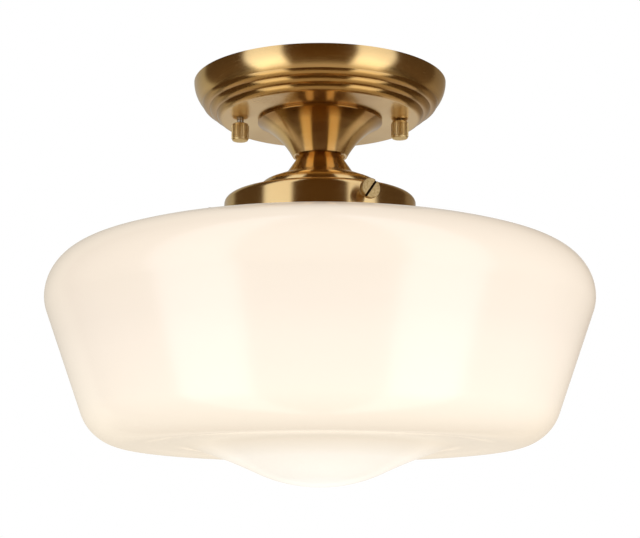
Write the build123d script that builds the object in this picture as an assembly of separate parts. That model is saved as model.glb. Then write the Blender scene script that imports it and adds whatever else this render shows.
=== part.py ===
"""Semi flush ceiling light: a brass canopy and trumpet stem over a schoolhouse glass.

Millimetres. The origin is the centre of the canopy's rim, in the plane of the
ceiling. +Z points up into the ceiling, so the whole light hangs at negative Z.
-Y is the front, and the two mounting studs stand on the X axis.
"""

from build123d import *
import math
import os

# ---------------------------------------------------------------- driving sizes

# heights of the stack, from the ceiling down
CANOPY_DEPTH = 21.01          # ceiling to the canopy's flat underside
STEM_HEIGHT = 21.08           # canopy underside to the stem's lower lip
HOLDER_HEIGHT = 44.27         # stem lip to the holder's lower edge
GLASS_DROP = 139.70           # holder's lower edge to the lowest point of the glass

SHEET = 1.2                   # wall of the spun brass pieces
SLIP = 0.1                    # radial play of a thread or a sliding pin

# canopy
CANOPY_RIM_R = 71.12
CANOPY_WALL_R = 66.38         # where the bulged wall meets the first bead
CANOPY_WALL_DEPTH = 11.61
CANOPY_BULGE = 1.15           # how far the wall stands proud of a straight cone
CANOPY_BEADS = 3
CANOPY_BEAD_RISE = 0.95       # how far each bead stands proud of its chord
CANOPY_PLATE_R = 54.29

# trumpet stem
STEM_BASE_R = 35.06
STEM_BASE_FALL = 25.6         # degrees below level where the flare starts
STEM_FOOT = 1.55              # height of the rounded foot on the canopy
STEM_FOOT_R = 34.0            # flat part of the foot
STEM_FOOT_BULGE = 0.45
STEM_LIP_R = 15.27
STEM_LIP_LEAN = 28.0          # degrees off vertical at the lip
STEM_RECESS = 1.6             # the web sits this far above the lip

# shade holder
NECK_R = 12.12
NECK_FLARE_R = 19.25          # foot of the neck's flare
NECK_FLARE_DROP = 10.43
RING_R = 34.4                 # outer wall of the domed ring under the neck
RING_DROP = 6.28              # fall of the ring's sloping top, to its sharp corner
RING_ROUND = 6.0              # that corner's round
HOLDER_BEND = 0.5             # tightest bend of the spun sheet, on its outside
SHOULDER_DROP = 5.94          # ring's sharp corner to the foot of its wall
SHOULDER_SLOPE = 7.2          # degrees
BAND_R = 53.37
BAND_CORNER_R = 3.37

# glass
GLASS_WALL = 3.5
GLASS_R = 149.86
GLASS_WIDEST_RISE = 100.62    # widest point above the lowest point
GLASS_MOUTH_OUT = 2.0         # neck to where the shoulder passes the holder's lower edge
GLASS_SHOULDER_SLOPE = 10.56  # degrees at the mouth
GLASS_SHOULDER = (42.1, 8.09, 9.13)    # in from the widest, fall from the mouth, and slope
GLASS_SHOULDER_SHARES = (0.7, 1.4)     # second arc to first, before and after that point
GLASS_TURN_R = 23.03          # turn below the widest point
GLASS_TAPER = 19.81           # degrees the lower wall leans in
GLASS_CORNER_R = 25.88
GLASS_RING_RISE = 21.0        # underside ring above the lowest point
GLASS_VALLEY = (83.8, 22.8)   # radius and rise of the valley round the dome
GLASS_FLANK = (34.3, 7.5, 25.0)    # radius, rise and slope of the dome's flank
GLASS_VALLEY_SHARE = 2.0      # second arc to first, from the valley to the flank
GLASS_LIP_CLEAR = 2.47        # lip to the inside of the holder's band
GLASS_LIP_PROUD = 4.7         # lip over the neck
GLASS_LIP_GAP = 0.3           # lip to the underside of the holder's shoulder
GLASS_LIP_CORNER = 1.5

# thumb screws
THUMB_ANGLES = {"front": -65.0, "rear": 53.5, "left": 171.5}
THUMB_RISE = 12.0             # axis above the holder's lower edge
THUMB_R = 2.0
THUMB_LENGTH = 10.0           # thread under the head
THUMB_STAND_OFF = 7.03        # head's inner face off the band
THUMB_HEAD_R = 5.35
THUMB_HEAD = 3.0
THUMB_SLOT = (1.3, 1.2)       # width and depth
THUMB_SLOT_TILT = 55.0
THUMB_COLLAR_R = 3.4          # pulled collar round the tapped hole
THUMB_COLLAR = 1.3
LIP_TO_THUMB = 0.4            # lip's underside above the screw's thread

# mounting hardware
BAR = (104.0, 22.0, 1.6)      # crossbar length, width and thickness
BAR_SLOT_PITCH = 69.85        # screw spacing of a standard ceiling box
BAR_SLOT = (11.0, 4.8)        # length and width
BAR_CENTRE_HOLE_R = 5.1
STUD_PITCH = 90.0
STUD_R = 2.0
STUD_LENGTH = 28.0
STUD_NUT = (7.0, 3.0)         # across flats, height
STUD_HOLE_PLAY = 0.6          # canopy's hole round a stud
CAP_NUT_R = 4.9
CAP_NUT_LENGTH = 9.7
CAP_NUT_BORE = 7.8
CAP_NUT_CHAMFER = 0.5
CAP_NUT_GAPS = {"left": 1.9, "right": 0.6}   # nut to the canopy's underside
GROUND_SCREW_X = -17.0
GROUND_SCREW_R = 2.0
GROUND_HEAD = (4.0, 2.4)      # radius, height
GROUND_SLOT = 1.2

# threaded tube that holds the stack together
TUBE_R = 5.0
TUBE_BORE_R = 3.5
TUBE_TOP = 12.0               # below the ceiling
TUBE_PLAY = 0.3               # in the holes it passes through
TUBE_NUT = (14.0, 4.0)        # across flats, height
WASHER = (9.5, 1.2)           # radius, thickness

# lampholder
SOCKET_TOP_GAP = 19.9         # stem lip to the top of the porcelain
SOCKET_R = 19.0
SOCKET_SKIRT = 2.0            # porcelain below its screw shell
SOCKET_CORNER_R = 1.5
SOCKET_CAP_R = 14.0           # flat top inside its chamfer
SOCKET_CAP_DROP = 5.0
SOCKET_SHELL_R = 14.0
SOCKET_SHELL_WALL = 0.35
SOCKET_SHELL_DROP = 14.5      # porcelain's top to the top of the shell
SHELL_TO_COLLAR = 1.3         # foot of the shell to the lamp's collar
SOCKET_FLOOR = 10.0           # porcelain's top to the floor over the contact
SOCKET_WELL = (6.5, 6.0)      # radius and depth of the lead well on top
SOCKET_POCKET_R = 8.5         # pocket of the centre contact
STRAP = (33.0, 12.0, 1.5)     # lampholder's mounting strap
STRAP_SCREW_X = 11.0
STRAP_SCREW_R = 1.5
STRAP_SCREW_HEAD = (2.8, 1.6)
CONTACT_WIDTH = 6.0
CONTACT_SHEET = 0.5
CONTACT_SPRING = 4.0          # how far the tongue stands off the porcelain

# lamp, a standard 60 mm bulb
LAMP_LENGTH = 110.0
LAMP_R = 30.0
LAMP_BASE_R = 13.15
LAMP_BASE_LENGTH = 26.0
LAMP_TIP_GAP = 0.3            # contact tongue to the lamp's tip
LAMP_TIP = (4.6, 1.5)
LAMP_INSULATOR = 2.2
LAMP_COLLAR_R = 13.6
LAMP_DOME_SHARE_DEG = 24.0    # how far past its equator the diffuser reaches up

# leads and their connectors, inside the stem and canopy
LEAD_R = 1.2
CONNECTOR = (5.5, 3.4, 18.0)  # mouth radius, tip radius, length
CONNECTOR_BORE = (4.2, 14.0)
CONNECTOR_Y = 24.0
CONNECTOR_SEAT = 0.3          # connectors above the canopy's inside
CONNECTOR_X = {"lead_black": 12.0, "lead_white": -12.0, "lead_ground": -28.0}
LEAD_TAIL = 9.0               # length inside its connector

# ------------------------------------------------------------------ levels (Z)

PLATE_Z = -CANOPY_DEPTH
PLATE_TOP_Z = PLATE_Z + SHEET
LIP_Z = PLATE_Z - STEM_HEIGHT
WEB_Z = LIP_Z + STEM_RECESS
HOLDER_Z = LIP_Z - HOLDER_HEIGHT
GLASS_Z = HOLDER_Z - GLASS_DROP
FLARE_Z = LIP_Z - NECK_FLARE_DROP
RING_Z = FLARE_Z - RING_DROP
SHOULDER_Z = RING_Z - SHOULDER_DROP
THUMB_Z = HOLDER_Z + THUMB_RISE
SOCKET_Z = LIP_Z - SOCKET_TOP_GAP
CONTACT_Z = SOCKET_Z - SOCKET_FLOOR
TIP_Z = CONTACT_Z - CONTACT_SPRING - LAMP_TIP_GAP
COLLAR_Z = TIP_Z - LAMP_BASE_LENGTH
SHELL_FOOT_Z = COLLAR_Z + SHELL_TO_COLLAR
SOCKET_FOOT_Z = SHELL_FOOT_Z - SOCKET_SKIRT
CONNECTOR_Z = PLATE_TOP_Z + CONNECTOR[0] + CONNECTOR_SEAT

# ---------------------------------------------- radii that follow from a fit

GLASS_LIP_R = BAND_R - SHEET - GLASS_LIP_CLEAR
GLASS_NECK_R = GLASS_LIP_R - GLASS_LIP_PROUD
GLASS_MOUTH_R = GLASS_NECK_R + GLASS_MOUTH_OUT
THUMB_HEAD_IN = BAND_R + THUMB_STAND_OFF


# -------------------------------------------------------------------- builders

def turned(*lines):
    """The solid that a closed outline of (radius, height) lines sweeps about Z."""
    edges = [edge for line in lines for edge in line.edges()]
    return revolve(Plane.XZ * make_face(edges), Axis.Z)


def tube(outer_r, inner_r, top, bottom):
    """A plain ring or washer about Z."""
    return turned(Polyline((inner_r, top), (outer_r, top), (outer_r, bottom), (inner_r, bottom), close=True))


def rod(radius, top, bottom, x=0.0, y=0.0):
    """A round bar parallel to Z."""
    return Pos(x, y, bottom) * Cylinder(radius, top - bottom, align=(Align.CENTER, Align.CENTER, Align.MIN))


def hex_nut(across_flats, height, bore_r, top, x=0.0):
    """A hexagon nut whose upper face is at the height top."""
    blank = extrude(RegularPolygon(across_flats / 2, 6, major_radius=False), height)
    blank -= Cylinder(bore_r, 3 * height)
    return Pos(x, 0, top - height) * blank


def polar(length, degrees):
    """A step of a length at an angle, as a (radius, height) pair."""
    angle = math.radians(degrees)
    return length * math.cos(angle), length * math.sin(angle)


def moved(point, step):
    return point[0] + step[0], point[1] + step[1]


def bent(start, heading, end):
    """The arc that leaves start at a heading and reaches end: its centre, radius, first angle and sweep."""
    chord = (end[0] - start[0], end[1] - start[1])
    off_chord = math.degrees(math.atan2(chord[1], chord[0])) - heading
    sweep = 2 * (off_chord - 360 * round(off_chord / 360))
    radius = math.hypot(*chord) / 2 / abs(math.sin(math.radians(sweep / 2)))
    centre = moved(start, polar(radius, heading + math.copysign(90, sweep)))
    return centre, radius, heading - math.copysign(90, sweep), sweep


def bent_twice(start, heading, end, end_heading, share=1.0):
    """Two arcs in line with each other and with the headings at both ends."""
    leave = polar(1, heading)
    arrive = polar(1, end_heading)
    across = (end[0] - start[0], end[1] - start[1])
    both = (leave[0] + share * arrive[0], leave[1] + share * arrive[1])
    along = across[0] * both[0] + across[1] * both[1]
    spare = (1 + share) ** 2 - both[0] ** 2 - both[1] ** 2
    square = across[0] ** 2 + across[1] ** 2
    reach = square / (along + math.sqrt(along**2 + spare * square))
    corner = moved(start, polar(reach, heading))
    last_corner = moved(end, polar(-share * reach, end_heading))
    step = ((last_corner[0] - corner[0]) / (1 + share), (last_corner[1] - corner[1]) / (1 + share))
    joint = moved(corner, step)
    joint_heading = math.degrees(math.atan2(step[1], step[0]))
    return [bent(start, heading, joint), bent(joint, joint_heading, end)]


def skin(arcs, inset=0.0):
    """Edges for the arcs of a surface, moved to the right of their travel by a wall."""
    return [
        CenterArc(centre, radius + math.copysign(inset, sweep), first, sweep) for centre, radius, first, sweep in arcs
    ]


def set_in(points, inset):
    """A run of straight stretches moved to its right by a wall, mitred at the corners."""
    normals = []
    for start, end in zip(points, points[1:]):
        length = math.dist(start, end)
        normals.append(((end[1] - start[1]) / length, (start[0] - end[0]) / length))
    steps = [normals[0]]
    for before, after in zip(normals, normals[1:]):
        share = 1 + before[0] * after[0] + before[1] * after[1]
        steps.append(((before[0] + after[0]) / share, (before[1] + after[1]) / share))
    steps.append(normals[-1])
    return [(point[0] + inset * step[0], point[1] + inset * step[1]) for point, step in zip(points, steps)]


# ---------------------------------------------------------------------- canopy

def canopy():
    """Spun pan: a bulged wall, three rounded beads and a flat plate."""
    slope = math.atan2(CANOPY_DEPTH - CANOPY_WALL_DEPTH, CANOPY_WALL_R - CANOPY_PLATE_R)
    wall_foot = (CANOPY_WALL_R, -CANOPY_WALL_DEPTH)
    plate_edge = (CANOPY_PLATE_R, PLATE_Z)
    beads = []
    start = wall_foot
    for bead in range(1, CANOPY_BEADS + 1):
        share = bead / CANOPY_BEADS
        end = (
            wall_foot[0] + (plate_edge[0] - wall_foot[0]) * share,
            wall_foot[1] + (plate_edge[1] - wall_foot[1]) * share,
        )
        beads.append(SagittaArc(start, end, -CANOPY_BEAD_RISE))
        start = end
    # the inside runs one sheet thickness behind the chords of the beads and wall
    inner_foot = (wall_foot[0] - SHEET * math.sin(slope), wall_foot[1] + SHEET * math.cos(slope))
    inner_plate = (CANOPY_PLATE_R - SHEET * math.tan(slope / 2), PLATE_TOP_Z)
    centre_r = TUBE_R + TUBE_PLAY
    pan = turned(
        SagittaArc((CANOPY_RIM_R, 0), wall_foot, CANOPY_BULGE),
        *beads,
        Polyline(plate_edge, (centre_r, PLATE_Z), (centre_r, PLATE_TOP_Z), inner_plate, inner_foot),
        SagittaArc(inner_foot, (CANOPY_RIM_R - SHEET, 0), -CANOPY_BULGE),
        Line((CANOPY_RIM_R - SHEET, 0), (CANOPY_RIM_R, 0)),
    )
    for side in (-1, 1):
        pan -= Pos(side * STUD_PITCH / 2, 0, PLATE_Z) * Cylinder(STUD_R + STUD_HOLE_PLAY, 4 * SHEET)
    return pan


# ------------------------------------------------------------------------ stem

def stem_cone():
    """Trumpet cover with a rounded foot, a lip and a web that the tube clamps."""
    base = (STEM_BASE_R, PLATE_Z - STEM_FOOT)
    lip = (STEM_LIP_R, LIP_Z)
    arcs = bent_twice(base, 180 + STEM_BASE_FALL, lip, 270 - STEM_LIP_LEAN)
    inner_upper, inner_lower = skin(arcs, SHEET)
    hole_r = TUBE_R + TUBE_PLAY
    web_top = WEB_Z + SHEET
    inner_lip_r = STEM_LIP_R - SHEET
    # the inside stops where it meets the web
    centre, radius, first, _ = arcs[1]
    web_angle = 180 - math.degrees(math.asin((web_top - centre[1]) / (radius + SHEET)))
    inner_lower = CenterArc(centre, radius + SHEET, first, web_angle - first)
    cut = inner_lower @ 1
    foot_in = (inner_upper @ 0).X
    return turned(
        SagittaArc((STEM_FOOT_R, PLATE_Z), base, STEM_FOOT_BULGE),
        *skin(arcs),
        Polyline(lip, (inner_lip_r, LIP_Z), (inner_lip_r, WEB_Z), (hole_r, WEB_Z), (hole_r, web_top), (cut.X, web_top)),
        inner_lower,
        inner_upper,
        Polyline(inner_upper @ 0, (foot_in, PLATE_Z), (STEM_FOOT_R, PLATE_Z)),
    )


# ---------------------------------------------------------------- shade holder

def holder_outline(inset):
    """The holder's skin from its neck down to the band's lower edge."""
    foot_z = SHOULDER_Z - (BAND_R - RING_R) * math.tan(math.radians(SHOULDER_SLOPE))
    corners = [
        (TUBE_R + TUBE_PLAY, WEB_Z),
        (NECK_R, WEB_Z),
        (NECK_R, LIP_Z),
        (NECK_FLARE_R, FLARE_Z),
        (RING_R, RING_Z),
        (RING_R, SHOULDER_Z),
        (BAND_R, foot_z),
        (BAND_R, HOLDER_Z),
    ]
    # seen from outside a proud corner is tighter within, and a hollow one wider
    proud = max(HOLDER_BEND - inset, 0)
    hollow = HOLDER_BEND + inset
    radii = [proud, hollow, hollow, RING_ROUND - inset, hollow, BAND_CORNER_R - inset]
    return FilletPolyline(*set_in(corners, inset), radius=radii)


def thumb_frame(angle):
    """A frame whose +Z points out along a thumb screw, at the holder's axis."""
    outward = Vector(math.cos(math.radians(angle)), math.sin(math.radians(angle)), 0)
    return Plane(origin=(0, 0, THUMB_Z), x_dir=outward.cross(Vector(0, 0, 1)), z_dir=outward)


def shade_holder():
    """Spun fitter: neck, ring, shoulder and band, with three tapped collars."""
    outside = holder_outline(0)
    inside = holder_outline(SHEET)
    shell = turned(
        outside,
        Line(outside @ 1, inside @ 1),
        inside,
        Line(inside @ 0, outside @ 0),
    )
    for angle in THUMB_ANGLES.values():
        frame = thumb_frame(angle)
        collar_in = BAND_R - SHEET - THUMB_COLLAR
        collar = Pos(0, 0, collar_in) * Cylinder(
            THUMB_COLLAR_R, THUMB_COLLAR + SHEET / 2, align=(Align.CENTER, Align.CENTER, Align.MIN)
        )
        hole = Pos(0, 0, BAND_R) * Cylinder(THUMB_R + SLIP, 6 * (SHEET + THUMB_COLLAR))
        shell = shell + frame * collar
        shell = shell - frame * hole
    return shell


def thumb_screw(angle):
    """Slotted brass thumb screw, out along +Z of its own frame."""
    slot_width, slot_depth = THUMB_SLOT
    outer = THUMB_HEAD_IN + THUMB_HEAD
    head = Pos(0, 0, THUMB_HEAD_IN + THUMB_HEAD / 2) * Cylinder(THUMB_HEAD_R, THUMB_HEAD)
    head = chamfer(head.edges().filter_by(GeomType.CIRCLE), 0.3)
    slot = Pos(0, 0, outer - slot_depth / 2) * Rot(0, 0, THUMB_SLOT_TILT)
    head -= slot * Box(3 * THUMB_HEAD_R, slot_width, slot_depth)
    shank = Pos(0, 0, THUMB_HEAD_IN - THUMB_LENGTH) * Cylinder(
        THUMB_R, THUMB_LENGTH, align=(Align.CENTER, Align.CENTER, Align.MIN)
    )
    shank = chamfer(shank.edges().sort_by(Axis.Z)[0], 0.4)
    return thumb_frame(angle) * (head + shank)


# ----------------------------------------------------------------------- glass

def glass_outline(inset):
    """The glass from the foot of its neck to its lowest point, set in by a wall."""
    slope = GLASS_SHOULDER_SLOPE
    shoulder_in, shoulder_fall, shoulder_slope = GLASS_SHOULDER
    before, after = GLASS_SHOULDER_SHARES
    flank_r, flank_rise, flank_slope = GLASS_FLANK
    valley_r, valley_rise = GLASS_VALLEY

    fillet_r = GLASS_MOUTH_OUT / (1 - math.sin(math.radians(slope)))
    fillet_centre = (GLASS_NECK_R + fillet_r, HOLDER_Z + fillet_r * math.cos(math.radians(slope)))
    mouth = (GLASS_MOUTH_R, HOLDER_Z)
    shoulder = (GLASS_R - shoulder_in, HOLDER_Z - shoulder_fall)
    widest = (GLASS_R, GLASS_Z + GLASS_WIDEST_RISE)
    turn_centre = (GLASS_R - GLASS_TURN_R, widest[1])
    turn_end = moved(turn_centre, polar(GLASS_TURN_R, -GLASS_TAPER))

    # the corner's centre lies where its arc meets both the taper and the ring level
    ring_z = GLASS_Z + GLASS_RING_RISE
    taper = math.radians(GLASS_TAPER)
    corner_z = ring_z + GLASS_CORNER_R
    fall = (turn_end[1] + GLASS_CORNER_R * math.sin(taper) - corner_z) / math.cos(taper)
    corner_centre = (turn_end[0] - GLASS_CORNER_R * math.cos(taper) - fall * math.sin(taper), corner_z)

    crest = (corner_centre[0], ring_z)
    valley = (valley_r, GLASS_Z + valley_rise)
    flank = (flank_r, GLASS_Z + flank_rise)
    flank_heading = 180 + flank_slope
    upper = skin(
        [
            (fillet_centre, fillet_r, 180, 90 - slope),
            *bent_twice(mouth, -slope, shoulder, -shoulder_slope, before),
            *bent_twice(shoulder, -shoulder_slope, widest, -90, after),
            (turn_centre, GLASS_TURN_R, 0, -GLASS_TAPER),
        ],
        inset,
    )
    lower = skin(
        [
            (corner_centre, GLASS_CORNER_R, -GLASS_TAPER, GLASS_TAPER - 90),
            *bent_twice(crest, 180, valley, 180),
            *bent_twice(valley, 180, flank, flank_heading, GLASS_VALLEY_SHARE),
            *bent_twice(flank, flank_heading, (0, GLASS_Z), 180),
        ],
        inset,
    )
    return [*upper, Line(upper[-1] @ 1, lower[0] @ 0), *lower]


def glass_lip_levels():
    """Heights of the lip's top, under the holder's shoulder, and of its underside, over the thumb screws."""
    slope = math.radians(SHOULDER_SLOPE)
    inner_bend = (math.pi / 2 - slope) / 2
    shoulder_under = (
        SHOULDER_Z - (GLASS_LIP_R - RING_R) * math.tan(slope) - SHEET * math.tan(inner_bend)
        - SHEET * math.tan(slope)
    )
    return shoulder_under - GLASS_LIP_GAP, THUMB_Z + THUMB_R + LIP_TO_THUMB


def glass_lip():
    """Rolled lip of the glass, which the thumb screws hold from below."""
    top, under = glass_lip_levels()
    mouth = GLASS_NECK_R - GLASS_WALL
    outline = FilletPolyline(
        (GLASS_NECK_R, under), (GLASS_LIP_R, under), (GLASS_LIP_R, top), (mouth, top), (mouth, under),
        radius=[GLASS_LIP_CORNER] * 3,
    )
    return turned(outline, Line(outline @ 1, outline @ 0))


def glass_neck():
    """Straight neck of the glass, from its lip to its shoulder."""
    _, lip_under = glass_lip_levels()
    return tube(GLASS_NECK_R, GLASS_NECK_R - GLASS_WALL, lip_under, (glass_outline(0)[0] @ 0).Y)


def glass_shade():
    """Blown schoolhouse glass below its neck: round shoulder, tapered wall and dome."""
    outside = glass_outline(0)
    inside = glass_outline(GLASS_WALL)
    return turned(
        *outside, Line(outside[-1] @ 1, inside[-1] @ 1), *inside, Line(inside[0] @ 0, outside[0] @ 0)
    )


# ------------------------------------------------------------ mounting hardware

def crossbar():
    """Flat steel strap that screws to the ceiling box and carries the studs."""
    length, width, thickness = BAR
    slot_length, slot_width = BAR_SLOT
    plate = SlotOverall(length, width)
    for side in (-1, 1):
        plate -= Pos(side * BAR_SLOT_PITCH / 2, 0) * SlotOverall(slot_length, slot_width)
        plate -= Pos(side * STUD_PITCH / 2, 0) * Circle(STUD_R)
    plate -= Circle(BAR_CENTRE_HOLE_R)
    plate -= Pos(GROUND_SCREW_X, 0) * Circle(GROUND_SCREW_R)
    return Pos(0, 0, -thickness) * extrude(plate, thickness)


def mounting_studs():
    """Two threaded studs, flush with the top of the crossbar."""
    return [rod(STUD_R, 0, -STUD_LENGTH, side * STUD_PITCH / 2) for side in (-1, 1)]


def stud_nuts():
    """The hexagon nuts that lock the studs to the crossbar."""
    across_flats, height = STUD_NUT
    return [hex_nut(across_flats, height, STUD_R, -BAR[2], side * STUD_PITCH / 2) for side in (-1, 1)]


def ground_screw():
    """Slotted screw under the crossbar for the bare or green wire."""
    head_r, head = GROUND_HEAD
    under = -BAR[2]
    screw = rod(GROUND_SCREW_R, 0, under, GROUND_SCREW_X) + rod(head_r, under, under - head, GROUND_SCREW_X)
    slot = Box(3 * head_r, GROUND_SLOT, head)
    return screw - Pos(GROUND_SCREW_X, 0, under - head) * slot


def cap_nut(side):
    """Round decorative nut with a blind tapped hole, open at the top."""
    x = {"left": -1, "right": 1}[side] * STUD_PITCH / 2
    top = PLATE_Z - CAP_NUT_GAPS[side]
    body = rod(CAP_NUT_R, top, top - CAP_NUT_LENGTH, x)
    body = chamfer(body.edges().filter_by(GeomType.CIRCLE), CAP_NUT_CHAMFER)
    return body - rod(STUD_R + SLIP, top + 1, top - CAP_NUT_BORE, x)


# ------------------------------------------------- threaded tube and lampholder

def threaded_tube():
    """Hollow threaded tube from the canopy down to the lampholder."""
    return tube(TUBE_R, TUBE_BORE_R, -TUBE_TOP, SOCKET_Z - STRAP[2] / 2)


def washer_on(top):
    radius, thickness = WASHER
    return tube(radius, TUBE_R + SLIP, top, top - thickness)


def socket_strap():
    """Steel strap, tapped for the tube and screwed to the porcelain."""
    length, width, thickness = STRAP
    plate = SlotOverall(length, width) - Circle(TUBE_R)
    for side in (-1, 1):
        plate -= Pos(side * STRAP_SCREW_X, 0) * Circle(STRAP_SCREW_R)
    return Pos(0, 0, SOCKET_Z) * extrude(plate, thickness)


def socket_screws():
    """The two screws that hold the strap to the porcelain."""
    head_r, head = STRAP_SCREW_HEAD
    top = SOCKET_Z + STRAP[2]
    screws = []
    for side in (-1, 1):
        x = side * STRAP_SCREW_X
        screw = rod(STRAP_SCREW_R, top, SOCKET_Z - SOCKET_CAP_DROP, x) + rod(head_r, top + head, top, x)
        screws.append(screw - Pos(x, 0, top + head) * Box(3 * head_r, 0.8, head))
    return screws


def socket_body():
    """Glazed porcelain lampholder: lead well on top, deep bore for the shell."""
    bottom = SOCKET_FOOT_Z
    bore_r = SOCKET_SHELL_R + SLIP
    mouth_r = bore_r + 0.8
    shell_top = SOCKET_Z - SOCKET_SHELL_DROP + SLIP
    well_r, well_depth = SOCKET_WELL
    body = turned(
        Polyline((well_r, SOCKET_Z), (SOCKET_CAP_R, SOCKET_Z), (SOCKET_R, SOCKET_Z - SOCKET_CAP_DROP)),
        FilletPolyline(
            (SOCKET_R, SOCKET_Z - SOCKET_CAP_DROP),
            (SOCKET_R, bottom),
            (mouth_r, bottom),
            (bore_r, bottom + 1.6),
            radius=[SOCKET_CORNER_R, 0.4],
        ),
        Polyline(
            (bore_r, bottom + 1.6),
            (bore_r, shell_top),
            (SOCKET_POCKET_R, shell_top),
            (SOCKET_POCKET_R, CONTACT_Z),
            (0, CONTACT_Z),
            (0, SOCKET_Z - well_depth),
            (well_r, SOCKET_Z - well_depth),
            (well_r, SOCKET_Z),
        ),
    )
    for side in (-1, 1):
        body -= rod(STRAP_SCREW_R, SOCKET_Z + 1, SOCKET_Z - SOCKET_CAP_DROP, side * STRAP_SCREW_X)
    return body


def socket_shell():
    """Thin screw shell that the lamp's base turns into."""
    return tube(SOCKET_SHELL_R, SOCKET_SHELL_R - SOCKET_SHELL_WALL, SOCKET_Z - SOCKET_SHELL_DROP, SHELL_FOOT_Z)


def socket_contact():
    """Bent spring tongue, riveted to the porcelain and pressed by the lamp's tip."""
    reach = SOCKET_POCKET_R - 1.5
    under = TIP_Z + LAMP_TIP_GAP
    spine = FilletPolyline(
        (-reach, CONTACT_Z - CONTACT_SHEET / 2),
        (reach - 2, CONTACT_Z - CONTACT_SHEET / 2),
        (reach - 1, under + CONTACT_SHEET / 2),
        (-reach / 2, under + CONTACT_SHEET / 2),
        radius=[0.6, 0.6],
    )
    strip = make_face(offset(spine, CONTACT_SHEET / 2, side=Side.BOTH).edges())
    return extrude(Plane.XZ * strip, CONTACT_WIDTH / 2, both=True)


# ------------------------------------------------------------------------ lamp

def lamp_levels():
    """Heights of the lamp's joints, from its tip down."""
    tip = TIP_Z
    button = tip - LAMP_TIP[1]
    thread = button - LAMP_INSULATOR
    collar = COLLAR_Z
    centre = tip - LAMP_LENGTH + LAMP_R
    seam = centre + LAMP_R * math.sin(math.radians(LAMP_DOME_SHARE_DEG))
    return tip, button, thread, collar, centre, seam


def lamp_tip():
    tip, button, *_ = lamp_levels()
    radius, height = LAMP_TIP
    crown = skin(bent_twice((radius, button), 90, (0, tip), 180, share=3.0))
    return turned(*crown, Polyline(crown[-1] @ 1, (0, button), (radius, button)))


def lamp_insulator():
    _, button, thread, *_ = lamp_levels()
    shoulder_r = LAMP_BASE_R - 1.6
    return turned(Polyline((0, button), (LAMP_TIP[0] + 1, button), (shoulder_r, thread), (0, thread), close=True))


def lamp_base():
    _, _, thread, collar, *_ = lamp_levels()
    edge = 1.6
    return turned(
        Polyline(
            (0, thread), (LAMP_BASE_R - edge, thread), (LAMP_BASE_R, thread - edge),
            (LAMP_BASE_R, collar), (0, collar), close=True,
        )
    )


def lamp_housing():
    """White moulded body that flares from the base to the diffuser."""
    *_, collar, centre, seam = lamp_levels()
    seam_r = LAMP_R * math.cos(math.radians(LAMP_DOME_SHARE_DEG))
    top = (LAMP_COLLAR_R, collar)
    seam_point = (seam_r, seam)
    return turned(
        Line((0, collar), top),
        *skin(bent_twice(top, 270, seam_point, 270 + LAMP_DOME_SHARE_DEG)),
        Polyline(seam_point, (0, seam), (0, collar)),
    )


def lamp_diffuser():
    """Frosted dome, most of a sphere."""
    *_, centre, seam = lamp_levels()
    seam_r = LAMP_R * math.cos(math.radians(LAMP_DOME_SHARE_DEG))
    return turned(
        CenterArc((0, centre), LAMP_R, -90, 90 + LAMP_DOME_SHARE_DEG),
        Polyline((seam_r, seam), (0, seam), (0, centre - LAMP_R)),
    )


# ----------------------------------------------------------------------- leads

def lead_route(name):
    """Corner points of a lead, from its terminal to the inside of its connector."""
    x = CONNECTOR_X[name]
    side = math.copysign(1, x)
    into = [(x, CONNECTOR_Y + 1, CONNECTOR_Z), (x, CONNECTOR_Y + LEAD_TAIL, CONNECTOR_Z)]
    if name == "lead_ground":
        start_x = GROUND_SCREW_X - 0.5
        start_y = GROUND_HEAD[0] + LEAD_R + 0.1
        return [
            (start_x, start_y, -BAR[2] - LEAD_R),
            (start_x - 2, start_y + 6, -5.0),
            (x + 3, start_y + 13, -9.5),
            *into,
        ]
    return [
        (side * 1.6, 0, SOCKET_Z - SOCKET_WELL[1]),
        (side * 1.6, 0, -5.5),
        (side * 5, 10, -5.2),
        (side * 10, 17, -9.5),
        *into,
    ]


def bend_radii(points):
    """A tangent arc at each inner corner, as large as its two runs allow."""
    radii = []
    for before, corner, after in zip(points, points[1:], points[2:]):
        run_in = Vector(corner) - Vector(before)
        run_out = Vector(after) - Vector(corner)
        turn = math.radians(run_in.get_angle(run_out))
        radii.append(0.45 * min(run_in.length, run_out.length) / math.tan(turn / 2))
    return radii


def lead(name):
    """An insulated wire: straight runs joined by tangent arcs."""
    points = lead_route(name)
    radii = bend_radii(points)
    route = FilletPolyline(*points, radius=radii)
    wire = sweep(Plane(origin=route @ 0, z_dir=route % 0) * Circle(LEAD_R), path=route)
    plain = math.pi * LEAD_R**2 * route.length
    print(name, "bend radii", [round(radius, 1) for radius in radii], "volume ratio", round(wire.volume / plain, 4))
    return wire


def wire_connectors():
    """Three twist-on connectors that lie in the canopy, mouths to the stem."""
    mouth_r, tip_r, length = CONNECTOR
    bore_r, bore_depth = CONNECTOR_BORE
    outline = Polyline(
        (0, length), (tip_r, length), (mouth_r, 0), (bore_r, 0), (bore_r - 1, bore_depth), (0, bore_depth), close=True
    )
    cap = turned(outline)
    along_y = Plane(origin=(0, 0, 0), x_dir=(1, 0, 0), z_dir=(0, 1, 0))
    return [Pos(x, CONNECTOR_Y, CONNECTOR_Z) * (along_y * cap) for x in CONNECTOR_X.values()]


# ----------------------------------------------------------------------- parts

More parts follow.
